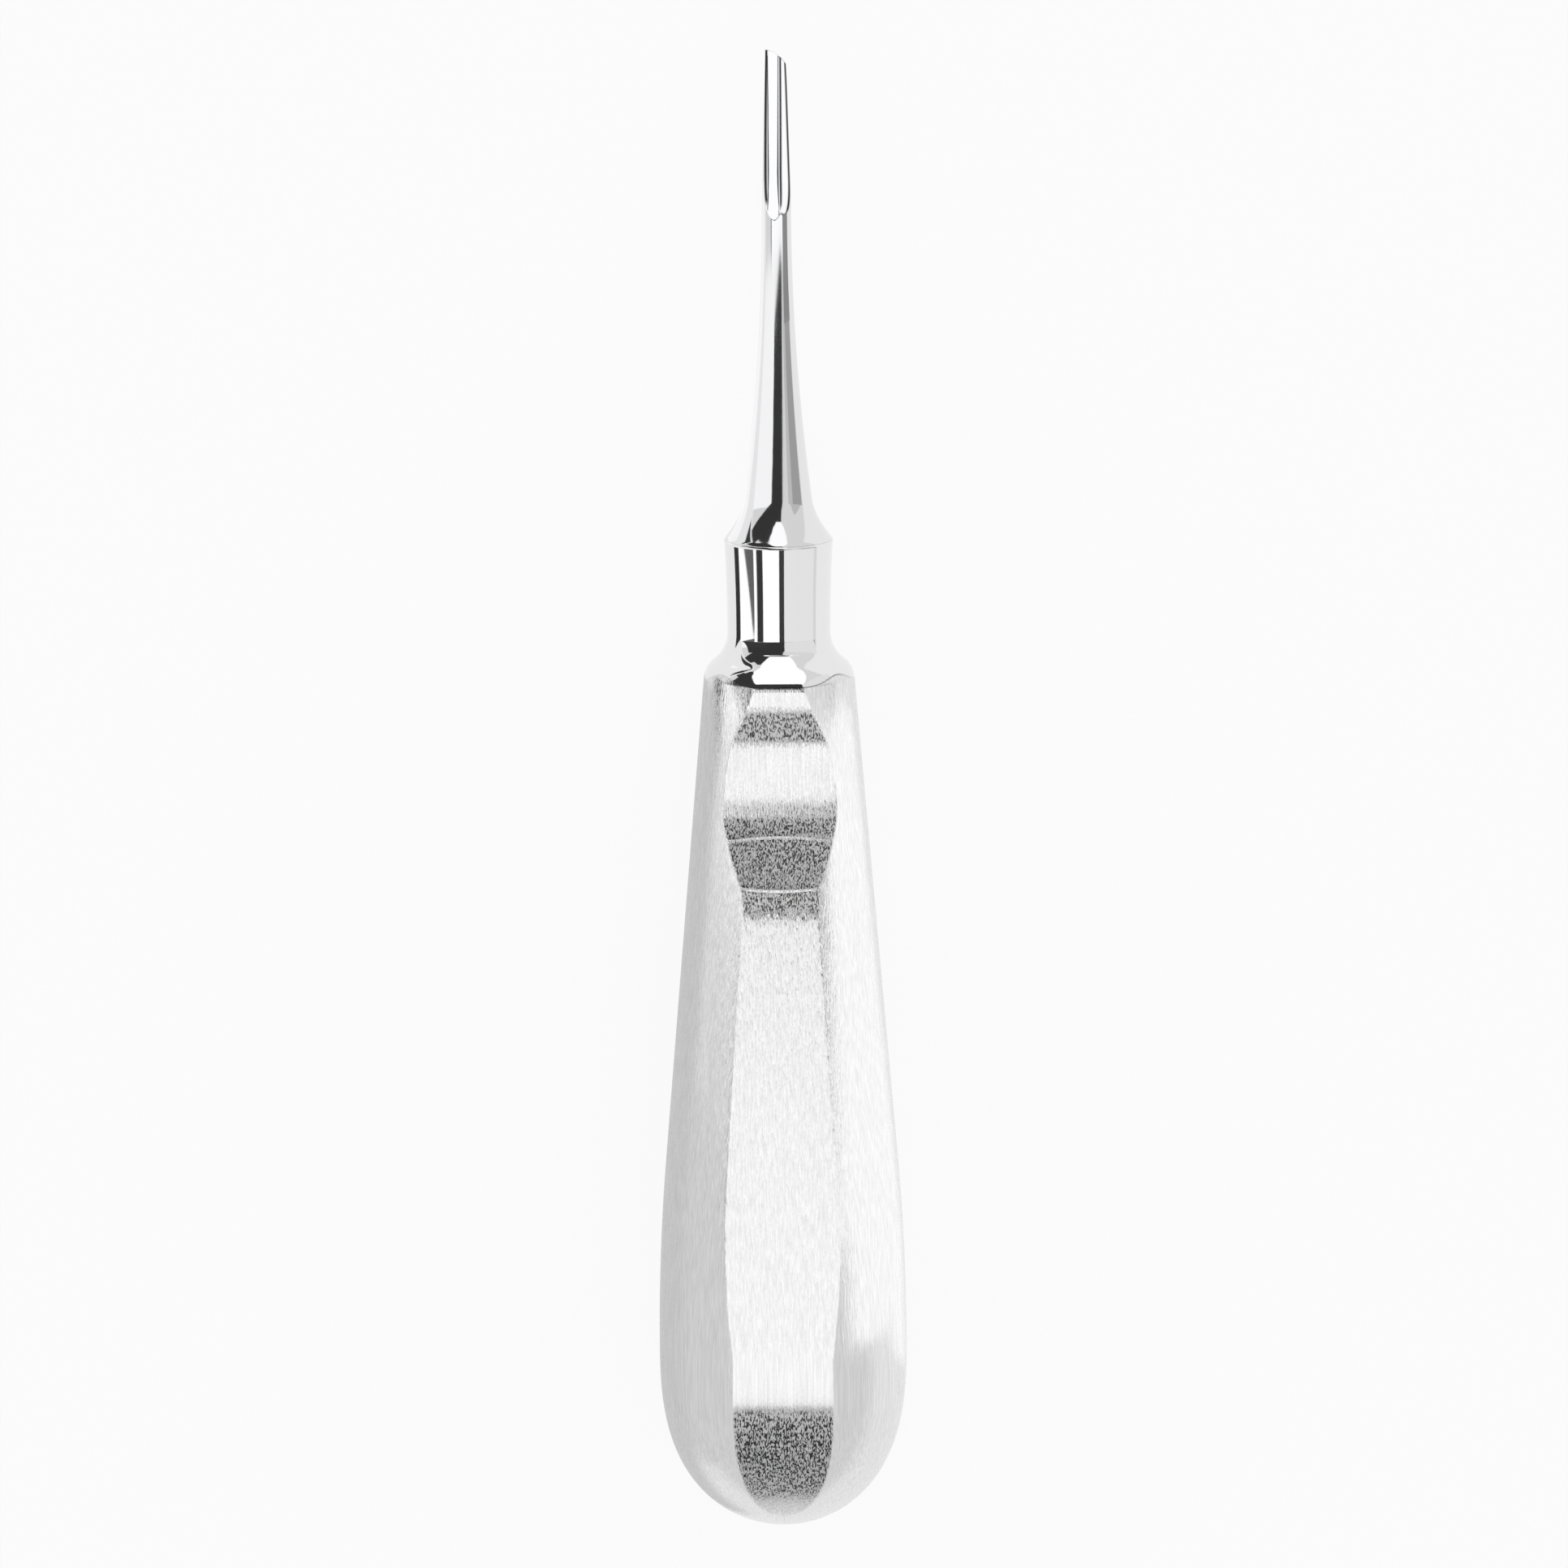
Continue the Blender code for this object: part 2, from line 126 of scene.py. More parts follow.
def handle_radius(y):
    """A squared ellipse at the butt, a parabola at the belly, a straight taper to the rim, a
    convex arc and a concave arc down the flare, and a shallow parabola up the collar."""
    run = TAPER_START_Y - BUTT_Y
    slope = (BUTT_RADIUS - RIM_RADIUS) / (RIM_Y - TAPER_START_Y + run / 2.0)
    tilt = math.atan(slope)
    drop = RIM_RADIUS - NECK_RADIUS
    cosine = (NECK_FILLET + RIM_ROUNDING * math.cos(tilt) - drop) / (NECK_FILLET + RIM_ROUNDING)
    turn = math.acos(cosine)
    bend = RIM_Y + RIM_ROUNDING * (math.sin(turn) - math.sin(tilt))
    waist = bend + NECK_FILLET * math.sin(turn)
    butt = BUTT_RADIUS * np.sqrt(np.clip(1.0 - np.abs(1.0 - y / BUTT_Y) ** BUTT_FULLNESS, 0.0, 1.0))
    belly = BUTT_RADIUS - slope * (y - BUTT_Y) ** 2 / (2.0 * run)
    taper = RIM_RADIUS + slope * (RIM_Y - y)
    across = np.clip(y - RIM_Y + RIM_ROUNDING * math.sin(tilt), -RIM_ROUNDING, RIM_ROUNDING)
    rim = RIM_RADIUS - RIM_ROUNDING * math.cos(tilt) + np.sqrt(RIM_ROUNDING ** 2 - across ** 2)
    across = np.clip(waist - y, -NECK_FILLET, NECK_FILLET)
    flare = NECK_RADIUS + NECK_FILLET - np.sqrt(NECK_FILLET ** 2 - across ** 2)
    collar = NECK_RADIUS + (COLLAR_RADIUS - NECK_RADIUS) * ((y - waist) / (COLLAR_Y - waist)) ** 2
    limits = [y < BUTT_Y, y < TAPER_START_Y, y < RIM_Y, y < bend, y < waist]
    return np.select(limits, [butt, belly, taper, rim, flare], collar), waist


def flat_height(y, waist):
    """Height of the front flat: a plane that bends down to the butt in a squared ellipse and
    rounds off a little before the crease, then the scoop, whose height is its angle summed up
    from the crease on, and a bevel that runs out on the flare."""
    fall = math.tan(FLAT_SLOPE)
    rounding = np.clip(y - CREASE_Y + CREASE_ROUND_LENGTH, 0.0, CREASE_ROUND_LENGTH)
    rounding = math.tan(CREASE_ROUND_ANGLE) * rounding ** 2 / (2.0 * CREASE_ROUND_LENGTH)
    plane = FLAT_HEIGHT + fall * (CREASE_Y - y) - rounding
    top = FLAT_HEIGHT + fall * (CREASE_Y - BUTT_Y)
    share = np.clip((BUTT_Y - y) / FLAT_END_LENGTH, 0.0, 1.0)
    end = top * (1.0 - share ** FLAT_END_FULLNESS) ** 0.5
    flat = np.where(y < BUTT_Y, end, plane)
    places = np.linspace(0.0, SCOOP_PLACES[-1], 2000)
    slopes = np.tan(np.interp(places, SCOOP_PLACES, SCOOP_ANGLES))
    sums = np.concatenate([[0.0], np.cumsum((slopes[1:] + slopes[:-1]) / 2.0 * np.diff(places))])
    crease = FLAT_HEIGHT - math.tan(CREASE_ROUND_ANGLE) * CREASE_ROUND_LENGTH / 2.0
    rim = crease - sums[-1]
    scoop = crease - np.interp(y - CREASE_Y, places, sums)
    scoop = np.where(y < CREASE_Y, 2.0 * BUTT_RADIUS, scoop)
    bevel_end = waist - NECK_FILLET * math.sin(BEVEL_END_ANGLE)
    low = NECK_RADIUS + NECK_FILLET * (1.0 - math.cos(BEVEL_END_ANGLE))
    bevel = rim - (rim - low) / (bevel_end - RIM_Y) * (y - RIM_Y)
    height = soft_min(np.minimum(flat, scoop), bevel, BEVEL_SOFTNESS)
    return np.where(y < bevel_end + BEVEL_OVERRUN, height, 2.0 * NECK_RADIUS)


def handle_columns(radius, height):
    """Angles of the ring's columns from the middle of the front flat: even over each flat and
    each round side, and close together at the edges between them."""
    edge = np.arccos(np.clip(height / np.maximum(radius, 1e-6), -1.0, 1.0))
    edge = np.maximum(edge, LEAST_EDGE_ANGLE)
    near = EDGE_OFFSETS[None, :] / np.maximum(radius, LEAST_OFFSET_RADIUS)
    half = edge + near[:, :1]
    flat = half * np.linspace(-1.0, 1.0, FLAT_COLUMNS)[None, 1:-1]
    corner = edge + near
    low, high = corner[:, -1:], math.pi - corner[:, -1:]
    side = low + (high - low) * np.linspace(0.0, 1.0, SIDE_COLUMNS)[None, 1:-1]
    first = np.concatenate([flat, corner, side, math.pi - corner[:, ::-1]], axis=1)
    return np.concatenate([first, first + math.pi], axis=1)


def handle_rings(y, radius, height):
    """Points of the handle at each station: the circle, cut by the two flats, with the low
    burrs that the grinding wheel left across the scoop, each bowed by the square of x. The
    edges are crisp along the flats, and the bevel is blended into the polished flare."""
    radius, height, y = radius[:, None], height[:, None], y[:, None]
    angle = handle_columns(radius, height)
    half_width = height * np.abs(np.tan(angle))
    for place, bow in BURRS:
        line = CREASE_Y + place + bow * half_width ** 2
        height = height + BURR_HEIGHT * np.exp(-((y - line) / BURR_WIDTH) ** 2)
    flat = height / np.maximum(np.abs(np.cos(angle)), 1e-3)
    blend = np.clip((y - RIM_Y) / BLEND_LENGTH, 0.0, 1.0)
    softness = EDGE_SOFTNESS + (BLEND_SOFTNESS - EDGE_SOFTNESS) * blend
    reach = np.maximum(soft_min(radius + 0.0 * angle, flat, softness), 0.0)
    return reach * np.sin(angle), y + 0.0 * angle, reach * np.cos(angle), angle


# The grid's rings stand close together at the butt, the two burrs, the rim and the flare
BELLY_STEP, RAMP_STEP, SCOOP_STEP, RIM_STEP = 0.75, 0.3, 0.25, 0.06
butt = BUTT_Y * (1.0 - np.cos(np.linspace(0.012, math.pi / 2.0, 70)))
belly = np.arange(BUTT_Y + BELLY_STEP, CREASE_Y - 0.5, BELLY_STEP)
crease = CREASE_Y + np.linspace(-0.5, 0.9, 40)
ramp = np.arange(CREASE_Y + 1.2, CREASE_Y + 4.1, RAMP_STEP)
burr = CREASE_Y + np.linspace(4.3, 5.6, 38)
scoop = np.arange(CREASE_Y + 5.8, RIM_Y - 0.6, SCOOP_STEP)
rim = np.arange(RIM_Y - 0.5, RIM_Y + 5.0, RIM_STEP)
neck = np.linspace(RIM_Y + 5.1, COLLAR_Y - SEAM_GAP, 28)
stations = np.concatenate([butt, belly, crease, ramp, burr, scoop, rim, neck])
radius, waist = handle_radius(stations)
height = flat_height(stations, waist)

# The mouth of the neck, the bore and the inside of the wall close the surface. The inside
# follows the outside at the wall's thickness, with a quarter of its rings.
HOLLOW_END_Y, BORE_END_Y = RIM_Y - 2.0, RIM_Y - 1.0
MOUTH_EDGE, MOUTH_CHAMFER, BORE_CHAMFER, POLE_GAP = 0.04, 0.3, 0.2, 0.002
INSIDE_STRIDE, BORE_RINGS = 4, 6
inside = stations < HOLLOW_END_Y
run, rise = np.gradient(stations), np.gradient(radius)
length = np.hypot(run, rise)
inner_y = (stations + WALL * rise / length)[inside][::-INSIDE_STRIDE]
inner_radius = (radius - WALL * run / length)[inside][::-INSIDE_STRIDE]
inner_height = (height - WALL)[inside][::-INSIDE_STRIDE]
mouth = np.array([COLLAR_RADIUS - MOUTH_EDGE, COLLAR_RADIUS - MOUTH_CHAMFER,
                  BORE_RADIUS + BORE_CHAMFER, BORE_RADIUS])
mouth_y = np.full(len(mouth), COLLAR_Y - SEAM_GAP)
bore_y = np.linspace(COLLAR_Y - MOUTH_CHAMFER, BORE_END_Y, BORE_RINGS)
bore = np.full(BORE_RINGS, BORE_RADIUS)
uncut = np.full(len(mouth) + BORE_RINGS, 2.0 * NECK_RADIUS)
all_y = np.concatenate([stations, mouth_y, bore_y, inner_y])
all_radius = np.concatenate([radius, mouth, bore, inner_radius])
all_height = np.concatenate([height, uncut, inner_height])
x, y, z, angle = handle_rings(all_y, all_radius, all_height)
butt_pole, inner_pole = laid(0.0, 0.0, 0.0), laid(0.0, inner_y[-1] - POLE_GAP, 0.0)
handle = skin("satin_handle", laid(x, y, z), butt_pole, inner_pole)

# The polish ends at the rim, a little higher on the shoulders beside the flats. The border is real,
# but the dark line along it is painted shade in the colour, for the dark that a small groove there
# would mirror; it is fainter on the left and fades low on the sides, as the light falls.
BORDER_LIFT, SHOULDER_LIFT, BORDER_WIDTH = 0.02, 0.85, 0.14
SHOULDER_ANGLE, SHOULDER_WIDTH = math.radians(52.0), math.radians(17.0)
LINE_END_ANGLE, LINE_FADE_ANGLE, LEFT_SHADE_SHARE = math.radians(80.0), math.radians(25.0), 0.35
folded = np.abs((angle + math.pi / 2.0) % math.pi - math.pi / 2.0)
shoulder = np.exp(-((folded - SHOULDER_ANGLE) / SHOULDER_WIDTH) ** 2)
border = RIM_Y + BORDER_LIFT + SHOULDER_LIFT * shoulder
polish = np.clip((y - border) / BORDER_WIDTH + 0.5, 0.0, 1.0)
polish = polish * polish * (3.0 - 2.0 * polish)
painted_border_shade = 4.0 * polish * (1.0 - polish) * np.where(x > 0.0, 1.0, LEFT_SHADE_SHARE)
painted_border_shade = painted_border_shade * np.clip((LINE_END_ANGLE - folded) / LINE_FADE_ANGLE, 0.0, 1.0)

# The grit is coarsest where the flats bend down to the butt and in two stretches of the scoop,
# and grows a little from the edges down the round sides
GRIT_PLACES = [0.0, 13.4, 13.7, CREASE_Y - 2.5, CREASE_Y - 1.0, CREASE_Y + 6.4, CREASE_Y + 8.0,
               CREASE_Y + 13.6, CREASE_Y + 14.0, CREASE_Y + 17.4, CREASE_Y + 17.8]
GRIT_AMOUNTS = [1.0, 1.0, 0.1, 0.1, 1.0, 1.0, 0.3, 0.3, 1.0, 1.0, 0.25]
SIDE_GRIT, LOW_SIDE_GRIT, SIDE_GRIT_START, SIDE_GRIT_RUN = 0.1, 0.35, 0.8, 0.3
edge = np.arccos(np.clip(all_height / np.maximum(all_radius, 1e-6), -1.0, 1.0))[:, None]
on_flat = np.interp(y, GRIT_PLACES, GRIT_AMOUNTS)
on_side = SIDE_GRIT + LOW_SIDE_GRIT * np.clip((folded - SIDE_GRIT_START) / SIDE_GRIT_RUN, 0.0, 1.0)
coarse = np.where(folded < edge + 0.01, on_flat, on_side)
for attribute, values in (("polish", polish), ("painted_border_shade", painted_border_shade), ("coarse", coarse)):
    values = np.concatenate([values.ravel(), [0.0, 0.0]]).astype(np.float32)
    handle.data.attributes.new(attribute, "FLOAT", "POINT").data.foreach_set("value", values)


class Grain:
    """A value that varies over the steel. Its operators add Math nodes to the material."""

    def __init__(self, tree, socket=None):
        self.tree = tree
        self.socket = socket

    def node(self, kind, settings, sockets, output=0):
        """Adds a node, sets its settings, then fills its sockets with values or links."""
        made = self.tree.nodes.new(kind)
        for key, value in settings.items():
            setattr(made, key, value)
        for key, value in sockets.items():
            if isinstance(value, Grain):
                self.tree.links.new(value.socket, made.inputs[key])
            else:
                made.inputs[key].default_value = value
        return Grain(self.tree, made.outputs[output])

    def math(self, operation, first, second):
        return self.node("ShaderNodeMath", {"operation": operation}, {0: first, 1: second})

    def __add__(self, other):
        return self.math("ADD", self, other)

    def __radd__(self, other):
        return self.math("ADD", other, self)

    def __sub__(self, other):
        return self.math("SUBTRACT", self, other)

    def __rsub__(self, other):
        return self.math("SUBTRACT", other, self)

    def __mul__(self, other):
        return self.math("MULTIPLY", self, other)

    def __rmul__(self, other):
        return self.math("MULTIPLY", other, self)

    def attribute(self, name):
        """A value that the mesh holds at each of its points."""
        return self.node("ShaderNodeAttribute", {"attribute_name": name}, {}, "Fac")

    def stretched(self, gain, lift):
        """This value times a gain plus a lift, held between 0 and 1."""
        return self.node("ShaderNodeMath", {"operation": "MULTIPLY_ADD", "use_clamp": True},
                         {0: self, 1: gain, 2: lift})

    def blend(self, first, second):
        """The first colour where this value is 0, going over to the second where it is 1."""
        return self.node("ShaderNodeMix", {"data_type": "RGBA"}, {0: self, 6: first, 7: second}, 2)

    def bump(self, depth):
        """A surface normal for this value taken as a height, where 1 stands at a depth in metres."""
        return self.node("ShaderNodeBump", {}, {"Strength": 1.0, "Distance": depth, "Height": self})

    def streaks(self, across, along, detail):
        """Noise stretched along the instrument, as brushing leaves it."""
        place = self.node("ShaderNodeTexCoord", {}, {}, "Object")
        turned = self.node("ShaderNodeMapping", {"vector_type": "POINT"},
                           {"Vector": place, "Rotation": (FLAT_SLOPE, 0.0, 0.0),
                            "Scale": (across, along, across)})
        return self.node("ShaderNodeTexNoise", {"noise_dimensions": "3D"},
                         {"Vector": turned, "Scale": 1.0, "Detail": detail, "Roughness": 0.6})


def steel(name):
    """A bare steel material, and the grain that its finish starts from."""
    material = bpy.data.materials.new(name)
    material.use_nodes = True
    material.node_tree.nodes["Principled BSDF"].inputs["Metallic"].default_value = 1.0
    return material, Grain(material.node_tree)


def finish(grain, colour, rough, normal):
    """Gives the steel of a grain its colour, roughness and surface normal."""
    sockets = grain.tree.nodes["Principled BSDF"].inputs
    for key, value in (("Base Color", colour), ("Roughness", rough), ("Normal", normal)):
        grain.tree.links.new(value.socket, sockets[key])


# Brushing and grit: how fine each is across and along the handle, and how deep
SCRATCHES_ACROSS, SCRATCHES_ALONG, GRIT_ACROSS, GRIT_ALONG = 6000.0, 130.0, 8000.0, 2600.0
SCRATCH_DEPTH, GRIT_SHARE = 0.00003, 0.004
POLISHED_ROUGHNESS, BRUSHED_ROUGHNESS, PIT_ROUGHNESS = 0.055, 0.05, 0.45
STEEL_COLOUR, STREAK_COLOUR = (0.82, 0.82, 0.82, 1.0), (0.70, 0.70, 0.70, 1.0)
# Colour of the painted shade along the polish's border
PAINTED_SHADE_COLOUR = (0.03, 0.03, 0.03, 1.0)

satin, grain = steel("brushed_and_polished_steel")
brushed = 1.0 - grain.attribute("polish")
scratches = grain.streaks(SCRATCHES_ACROSS, SCRATCHES_ALONG, 2.0)
grit = grain.streaks(GRIT_ACROSS, GRIT_ALONG, 1.0)
pits = grain.attribute("coarse") * grit.stretched(13.0, -6.0)
rough = brushed * (BRUSHED_ROUGHNESS + PIT_ROUGHNESS * pits) + POLISHED_ROUGHNESS
relief = brushed * scratches + GRIT_SHARE * grit
streak = brushed * scratches.stretched(3.0, -1.0)
# The border's dark line is painted shade in the base colour, not a mark in the steel
colour = grain.attribute("painted_border_shade").blend(streak.blend(STEEL_COLOUR, STREAK_COLOUR), PAINTED_SHADE_COLOUR)
finish(grain, colour, rough, relief.bump(SCRATCH_DEPTH))
handle.data.materials.append(satin)
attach(handle, "root")
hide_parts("handle")

# Blade and shank
# The working end is forged from one hardened steel rod and mirror-polished all over. Its
# bolster sits on the collar, the shank tapers in a long curve, and the blade is a gouge:
# its back is ground up to the tip, a trough runs along its front, and the tip slants.

BLADE_ROOT_Y = 129.5
SHANK_ROOT_RADIUS, SHANK_RADIUS, BLADE_TIP_RADIUS = 3.85, 1.42, 1.0
BOLSTER_LENGTH, BOLSTER_PROUD, BOLSTER_ROUNDING = 4.0, 0.05, 0.25
TANG_RADIUS, TANG_LENGTH = 2.9, 16.0
TROUGH_RADIUS, TROUGH_OFFSET, TROUGH_FLOOR = 0.78, -0.32, 0.0
TROUGH_RUN_OUT_Y, TROUGH_RUN_OUT_RADIUS = 133.2, 8.0
LAND_ANGLE, LAND_HEIGHT, LAND_SLOPE = math.radians(29.0), 1.04, math.radians(1.2)
LAND_RUN_OUT_Y, LAND_RUN_OUT_RADIUS = 133.0, 20.0
BACK_GRIND_Y, BACK_TIP_DEPTH = 131.0, 0.22
TIP_ARC_RADIUS, TIP_ARC_OFFSET, TIP_SHAPED_LENGTH = 3.2, -1.7, 5.0
GROUND_EDGE_SOFTNESS = 0.012

# Below a station the trough is clear of the rod. Where it or the land cuts nothing, both keep
# a least width, so that their columns stay apart.
RUN_OUT_SHARE = 0.9
TROUGH_CLEAR_Y, CLEAR_HEIGHT = BLADE_ROOT_Y - 4.0, 9.0
LEAST_TROUGH_ANGLE, LEAST_LAND_ANGLE = math.radians(6.0), math.radians(4.0)
OPEN_TROUGH_ANGLE = math.radians(12.0)
BACK_COLUMNS, TROUGH_COLUMNS, LAND_COLUMNS = 78, 42, 11

# The trough's left edge and both edges of the land are real, but the dark lines along them are
# painted reflection in the colour, for the dark that these tight edges mirror
EDGE_SHADE_WIDTHS, EDGE_SHADE_STARTS = (0.14, 0.09, 0.12), (129.9, 129.5, 129.0)
EDGE_SHADE_INSET, EDGE_SHADE_FADE = 0.06, 0.6


def shank_radius(y):
    """Two parabolas added up, one for the shank and one for the bolster, whose edge is rounded
    off at the collar's radius, then the blade's taper."""
    share = (BLADE_ROOT_Y - y) / (BLADE_ROOT_Y - COLLAR_Y)
    flare = np.clip(1.0 - (y - COLLAR_Y) / BOLSTER_LENGTH, 0.0, 1.0)
    shank = SHANK_RADIUS + (SHANK_ROOT_RADIUS - SHANK_RADIUS) * share ** 2
    shank = shank + (COLLAR_RADIUS + BOLSTER_PROUD - SHANK_ROOT_RADIUS) * flare ** 2
    shank = soft_min(shank, COLLAR_RADIUS, BOLSTER_ROUNDING)
    share = (y - BLADE_ROOT_Y) / (TIP_Y - BLADE_ROOT_Y)
    return np.where(y < BLADE_ROOT_Y, shank, SHANK_RADIUS + (BLADE_TIP_RADIUS - SHANK_RADIUS) * share)


def blade_rings(y, radius):
    """Sections of the gouge, from the land's outer edge round the back along the rod's circle,
    then over the trough's arc and the land. Each stretch has its own columns between the
    crossings of circle, trough and land at that station: even on the circle and the land, and
    by a cosine over the trough, closest together at its edges."""
    rise = np.clip(TROUGH_RUN_OUT_Y - y, 0.0, TROUGH_RUN_OUT_RADIUS * RUN_OUT_SHARE)
    lift = TROUGH_RUN_OUT_RADIUS - np.sqrt(TROUGH_RUN_OUT_RADIUS ** 2 - rise ** 2)
    centre = TROUGH_FLOOR + TROUGH_RADIUS + np.where(y < TROUGH_CLEAR_Y, CLEAR_HEIGHT, lift)
    rise = np.clip(LAND_RUN_OUT_Y - y, 0.0, LAND_RUN_OUT_RADIUS * RUN_OUT_SHARE)
    lift = LAND_RUN_OUT_RADIUS - np.sqrt(LAND_RUN_OUT_RADIUS ** 2 - rise ** 2)
    slope = math.tan(LAND_SLOPE)
    land = LAND_HEIGHT + lift - slope * np.clip(y - LAND_RUN_OUT_Y, 0.0, None)

    # Crossings of the trough with the circle, as angles from the top towards the right
    apart = np.hypot(TROUGH_OFFSET, centre)
    lean = np.arctan2(TROUGH_OFFSET, centre)
    share = (radius ** 2 - TROUGH_RADIUS ** 2 + apart ** 2) / (2.0 * radius * apart)
    half = np.arccos(np.clip(share, -1.0, 1.0))
    half = np.maximum(half, LEAST_TROUGH_ANGLE)
    left, right = lean - half, lean + half

    # The land is a line at a distance from the axis, whose normal leans to the right
    open_land = np.arccos(np.clip(land / radius, -1.0, 1.0))
    outer = np.maximum(LAND_ANGLE + open_land, right + LEAST_LAND_ANGLE)
    gap = TROUGH_OFFSET * math.sin(LAND_ANGLE) + centre * math.cos(LAND_ANGLE) - land
    along = TROUGH_OFFSET * math.cos(LAND_ANGLE) - centre * math.sin(LAND_ANGLE)
    along = along + np.sqrt(np.clip(TROUGH_RADIUS ** 2 - gap ** 2, 0.0, None))
    inner_x = land * math.sin(LAND_ANGLE) + along * math.cos(LAND_ANGLE)
    inner_z = land * math.cos(LAND_ANGLE) - along * math.sin(LAND_ANGLE)
    on_land = (np.hypot(inner_x, inner_z) < radius) & (half > OPEN_TROUGH_ANGLE)
    edge_x = np.where(on_land, inner_x, radius * np.sin(right))
    outer_x = radius * np.sin(outer)

    def upper(x):
        """Height of the upper side at x: the lowest of the rod's circle, land and trough."""
        circle = np.sqrt(np.clip(radius[:, None] ** 2 - x ** 2, 0.0, None))
        flat = (land[:, None] - x * math.sin(LAND_ANGLE)) / math.cos(LAND_ANGLE)
        side = np.clip(TROUGH_RADIUS ** 2 - (x - TROUGH_OFFSET) ** 2, 0.0, None)
        trough = np.where(side > 0.0, centre[:, None] - np.sqrt(side), CLEAR_HEIGHT)
        ground = soft_min(circle, flat, GROUND_EDGE_SOFTNESS)
        return soft_min(ground, trough, GROUND_EDGE_SOFTNESS)

    turn = 2.0 * math.pi + left[:, None] - outer[:, None]
    back = outer[:, None] + turn * np.linspace(0.0, 1.0, BACK_COLUMNS)[None, :]
    back_x, back_z = radius[:, None] * np.sin(back), radius[:, None] * np.cos(back)
    share = 0.5 + 0.5 * np.cos(np.linspace(math.pi, 0.0, TROUGH_COLUMNS))[None, 1:-1]
    left_x = radius * np.sin(left)
    trough_x = left_x[:, None] + (edge_x - left_x)[:, None] * share
    share = np.linspace(0.0, 1.0, LAND_COLUMNS)[None, :-1]
    land_x = edge_x[:, None] + (outer_x - edge_x)[:, None] * share
    x = np.concatenate([back_x, trough_x, land_x], axis=1)
    z = np.concatenate([back_z, upper(trough_x), upper(land_x)], axis=1)
    share = np.clip((y - BACK_GRIND_Y) / (TIP_Y - BACK_GRIND_Y), 0.0, 1.0)[:, None]
    ground = 1.0 - (1.0 - BACK_TIP_DEPTH / BLADE_TIP_RADIUS) * share ** 2
    z = np.where(z < 0.0, z * ground, z)

    # The tip is an arc in plan, which the last stretch of stations closes up to
    edge = -BLADE_TIP_RADIUS - TIP_ARC_OFFSET
    base = TIP_Y - math.sqrt(TIP_ARC_RADIUS ** 2 - edge ** 2)
    plan = base + np.sqrt(np.clip(TIP_ARC_RADIUS ** 2 - (x - TIP_ARC_OFFSET) ** 2, 0.0, None))
    start = TIP_Y - TIP_SHAPED_LENGTH
    share = np.clip((y - start) / TIP_SHAPED_LENGTH, 0.0, 1.0)[:, None]

    # Each painted dark line fades in from the station where it starts, and lies on the upper side
    dark = 0.0 * x
    lines = (left_x + EDGE_SHADE_INSET, edge_x, outer_x)
    for line, width, first in zip(lines, EDGE_SHADE_WIDTHS, EDGE_SHADE_STARTS):
        along = np.clip((y - first) / EDGE_SHADE_FADE, 0.0, 1.0)[:, None]
        dark = np.maximum(dark, along * np.exp(-((x - line[:, None]) / width) ** 4))
    dark = np.where(z > 0.0, dark, 0.0)
    return x, y[:, None] + (plan - TIP_Y) * share ** 2, z, dark


# The chamfered tang, a hair's step out to the bolster's face, the bolster, shank and blade
TANG_CHAMFER, STEP = 0.6, 0.001
tang_end = COLLAR_Y - TANG_LENGTH
tang = np.array([tang_end, tang_end + TANG_CHAMFER, COLLAR_Y - STEP, COLLAR_Y])
tang_radius = np.array([TANG_RADIUS - TANG_CHAMFER, TANG_RADIUS, TANG_RADIUS, TANG_RADIUS + STEP])
bolster = COLLAR_Y + STEP + np.linspace(0.0, 1.0, 80) ** 1.4 * BOLSTER_LENGTH
shank = np.linspace(COLLAR_Y + BOLSTER_LENGTH + 0.1, BLADE_ROOT_Y - 2.5, 90)
blade = np.linspace(BLADE_ROOT_Y - 2.4, TIP_Y, 190)
stations = np.concatenate([tang, bolster, shank, blade])
radius = np.concatenate([tang_radius, shank_radius(stations[len(tang):])])
x, y, z, dark = blade_rings(stations, radius)
working_end = skin("blade_and_bolster", laid(x, y, z), None, None)
dark = dark.ravel().astype(np.float32)
working_end.data.attributes.new("painted_edge_shade", "FLOAT", "POINT").data.foreach_set("value", dark)

# The polish leaves faint marks along the steel
MARKS_ACROSS, MARKS_ALONG, MARK_DEPTH = 2600.0, 160.0, 0.0000012
MIRROR_ROUGHNESS, MARK_ROUGHNESS = 0.05, 0.05
MIRROR_COLOUR, PAINTED_EDGE_SHADE_COLOUR = (0.80, 0.80, 0.81, 1.0), (0.015, 0.015, 0.015, 1.0)

mirror, grain = steel("mirror_polished_steel")
marks = grain.streaks(MARKS_ACROSS, MARKS_ALONG, 3.0)
rough = MIRROR_ROUGHNESS + MARK_ROUGHNESS * marks
# The edges' dark lines are painted reflection in the base colour, not marks in the steel
colour = grain.attribute("painted_edge_shade").blend(MIRROR_COLOUR, PAINTED_EDGE_SHADE_COLOUR)
finish(grain, colour, rough, marks.bump(MARK_DEPTH))
working_end.data.materials.append(mirror)
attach(working_end, "root")
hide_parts("blade_and_shank")

# Studio
# The instrument lies on a white sweep under a pale tent. The steel shows the tent, and the
# dark gaps between its panels and around the lens are cards that only reflections see.

SWEEP_HALF, SWEEP_WHITE_SHARE, PAPER_COLOUR = 4.0, 0.88, (0.92, 0.92, 0.92, 1.0)
TENT_RADIUS = 1.0

# Brightness of the tent and of its cards. The steel gives back about 0.8 of it, so the white
# that it shows as white is over 1.
TENT_TONE, WHITE, LEFT_TENT, BLACK = 0.8, 1.22, 1.12, 0.04

# How many points a panel and a hoop have round and along the instrument
PANEL_GRID, HOOP_GRID = (16, 12), (24, 6)


